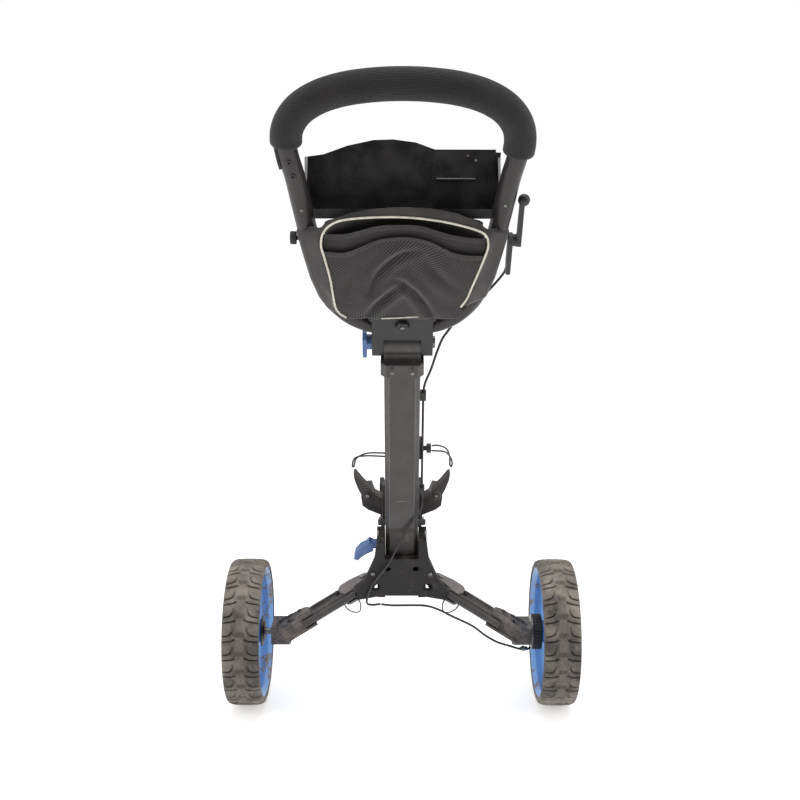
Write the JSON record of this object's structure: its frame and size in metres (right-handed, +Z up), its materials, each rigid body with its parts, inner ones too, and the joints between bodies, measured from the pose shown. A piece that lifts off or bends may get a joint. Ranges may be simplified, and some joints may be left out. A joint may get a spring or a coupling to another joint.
{
  "type": "golf push trolley",
  "caption": "Three-wheel folding golf push trolley with leaning mast, arched foam grip, console tray, mesh pocket, bag cradles and hand brake.",
  "frame": {"origin": "on the ground under the middle of the bounding box", "axes": "+Y the way the trolley is pushed, +X its right-hand side, +Z up"},
  "size_m": [0.663, 1.2338, 1.1781],
  "materials": {
    "hub_casting": "matte",
    "front_arm": "satin",
    "fork": "matte",
    "axle_front": "satin",
    "fold_pin": "satin",
    "cable_leg": "matte",
    "leg_pin_left": "satin",
    "leg_pin_right": "satin",
    "tyre_front": "matte",
    "rim_front": "satin",
    "bearing_front": "satin",
    "mast_foot": "matte",
    "mast_tube": "satin",
    "hinge_casting": "satin",
    "lower_cradle": "matte",
    "strap_anchor": "matte",
    "elastic_right": "matte",
    "elastic_left": "matte",
    "cable_clip_upper": "matte",
    "cable_clip_lower": "matte",
    "cable_mast": "matte",
    "cable_hinge": "matte",
    "cable_cross": "matte",
    "hinge_pin": "satin",
    "cradle_pad_left": "matte",
    "cradle_pad_right": "matte",
    "lower_latch": "satin",
    "upper_latch": "satin",
    "leg_root_left": "satin",
    "leg_tube_left": "satin",
    "wheel_bracket_left": "matte",
    "leg_spring_left": "satin",
    "axle_left": "satin",
    "leg_root_right": "satin",
    "leg_tube_right": "satin",
    "wheel_bracket_right": "matte",
    "leg_spring_right": "satin",
    "axle_right": "satin",
    "brake_plate": "satin",
    "tyre_left": "matte",
    "rim_left": "satin",
    "bearing_left": "satin",
    "hub_cap_left": "matte",
    "tyre_right": "matte",
    "rim_right": "satin",
    "bearing_right": "satin",
    "hub_cap_right": "matte",
    "brake_drum": "matte",
    "handle_frame": "satin",
    "grip": "matte",
    "handle_yoke": "matte",
    "upper_cradle": "matte",
    "console_tray": "gloss",
    "pocket": "matte",
    "brake_bracket": "matte",
    "cable_handle": "matte",
    "card_flap": "matte",
    "thumb_knob": "matte",
    "yoke_knob": "matte",
    "brake_lever": "matte"
  },
  "bodies": {
    "hub": {"hub_casting": "hub_casting", "front_arm": "front_arm", "fork": "fork", "axle_front": "axle_front", "fold_pin": "fold_pin", "cable_leg": "cable_leg", "leg_pin_left": "leg_pin_left", "leg_pin_right": "leg_pin_right"},
    "front_wheel": {"tyre_front": "tyre_front", "rim_front": "rim_front", "bearing_front": "bearing_front"},
    "mast": {"mast_foot": "mast_foot", "mast_tube": "mast_tube", "hinge_casting": "hinge_casting", "lower_cradle": "lower_cradle", "strap_anchor": "strap_anchor", "elastic_right": "elastic_right", "elastic_left": "elastic_left", "cable_clip_upper": "cable_clip_upper", "cable_clip_lower": "cable_clip_lower", "cable_mast": "cable_mast", "cable_hinge": "cable_hinge", "cable_cross": "cable_cross", "hinge_pin": "hinge_pin"},
    "left_pad": {"cradle_pad_left": "cradle_pad_left"},
    "right_pad": {"cradle_pad_right": "cradle_pad_right"},
    "lower_latch": {"lower_latch": "lower_latch"},
    "upper_latch": {"upper_latch": "upper_latch"},
    "left_leg": {"leg_root_left": "leg_root_left", "leg_tube_left": "leg_tube_left", "wheel_bracket_left": "wheel_bracket_left", "leg_spring_left": "leg_spring_left", "axle_left": "axle_left"},
    "right_leg": {"leg_root_right": "leg_root_right", "leg_tube_right": "leg_tube_right", "wheel_bracket_right": "wheel_bracket_right", "leg_spring_right": "leg_spring_right", "axle_right": "axle_right", "brake_plate": "brake_plate"},
    "left_wheel": {"tyre_left": "tyre_left", "rim_left": "rim_left", "bearing_left": "bearing_left", "hub_cap_left": "hub_cap_left"},
    "right_wheel": {"tyre_right": "tyre_right", "rim_right": "rim_right", "bearing_right": "bearing_right", "hub_cap_right": "hub_cap_right", "brake_drum": "brake_drum"},
    "handle": {"handle_frame": "handle_frame", "grip": "grip", "handle_yoke": "handle_yoke", "upper_cradle": "upper_cradle", "console_tray": "console_tray", "pocket": "pocket", "brake_bracket": "brake_bracket", "cable_handle": "cable_handle"},
    "card_flap": {"card_flap": "card_flap"},
    "thumb_knob": {"thumb_knob": "thumb_knob"},
    "yoke_knob": {"yoke_knob": "yoke_knob"},
    "brake_lever": {"brake_lever": "brake_lever"}
  },
  "joints": [
    {"name": "main_fold", "type": "hinge", "parent": "hub", "child": "mast", "pos_m": [0, -0.17412, 0.3], "axis": [-1, 0, 0], "range_deg": [0, 60], "deforming": ["cable_cross"]},
    {"name": "handle_fold", "type": "hinge", "parent": "mast", "child": "handle", "pos_m": [0, -0.34969, 0.755], "axis": [-1, 0, 0], "range_deg": [0, 100], "deforming": ["cable_hinge"]},
    {"name": "right_leg_fold", "type": "hinge", "parent": "hub", "child": "right_leg", "pos_m": [0.0675, -0.16612, 0.252], "axis": [0.4517, -0.116, 0.8846], "range_deg": [0, 54], "deforming": ["cable_leg"]},
    {"name": "left_leg_fold", "type": "hinge", "parent": "hub", "child": "left_leg", "pos_m": [-0.0675, -0.16612, 0.252], "axis": [0.4517, 0.116, -0.8846], "range_deg": [0, 54]},
    {"name": "front_wheel_spin", "type": "hinge", "parent": "hub", "child": "front_wheel", "pos_m": [0, 0.47688, 0.14], "axis": [-1, 0, 0], "continuous": true},
    {"name": "left_wheel_spin", "type": "hinge", "parent": "left_leg", "child": "left_wheel", "pos_m": [-0.297, -0.14312, 0.14], "axis": [-1, 0, 0], "continuous": true},
    {"name": "right_wheel_spin", "type": "hinge", "parent": "right_leg", "child": "right_wheel", "pos_m": [0.297, -0.14312, 0.14], "axis": [-1, 0, 0], "continuous": true},
    {"name": "lower_latch_turn", "type": "hinge", "parent": "hub", "child": "lower_latch", "pos_m": [-0.0455, -0.20475, 0.34606], "axis": [-1, 0, 0], "range_deg": [0, 18]},
    {"name": "upper_latch_turn", "type": "hinge", "parent": "mast", "child": "upper_latch", "pos_m": [0, -0.34969, 0.755], "axis": [-1, 0, 0], "range_deg": [0, 20]},
    {"name": "left_pad_turn", "type": "hinge", "parent": "mast", "child": "left_pad", "pos_m": [-0.063, -0.22236, 0.42502], "axis": [0, 0.933, 0.36], "range_deg": [-8, 22]},
    {"name": "right_pad_turn", "type": "hinge", "parent": "mast", "child": "right_pad", "pos_m": [0.063, -0.22236, 0.42502], "axis": [0, -0.933, -0.36], "range_deg": [-8, 22]},
    {"name": "card_flap_turn", "type": "hinge", "parent": "handle", "child": "card_flap", "pos_m": [0.046, -0.3969, 1.01868], "axis": [1, 0, 0], "range_deg": [0, 60]},
    {"name": "thumb_knob_turn", "type": "hinge", "parent": "handle", "child": "thumb_knob", "pos_m": [-0.16, -0.45998, 0.9357], "axis": [-1, 0, 0], "continuous": true},
    {"name": "yoke_knob_turn", "type": "hinge", "parent": "handle", "child": "yoke_knob", "pos_m": [0, -0.41101, 0.79021], "axis": [0, -0.8536, -0.521], "continuous": true},
    {"name": "brake_lever_turn", "type": "hinge", "parent": "handle", "child": "brake_lever", "pos_m": [0.169, -0.458, 0.93245], "axis": [1, 0, 0], "range_deg": [0, 55]}
  ],
  "couplings": [
    {"joint": "right_leg_fold", "follows": "main_fold", "ratio": 0.9},
    {"joint": "left_leg_fold", "follows": "main_fold", "ratio": 0.9}
  ]
}
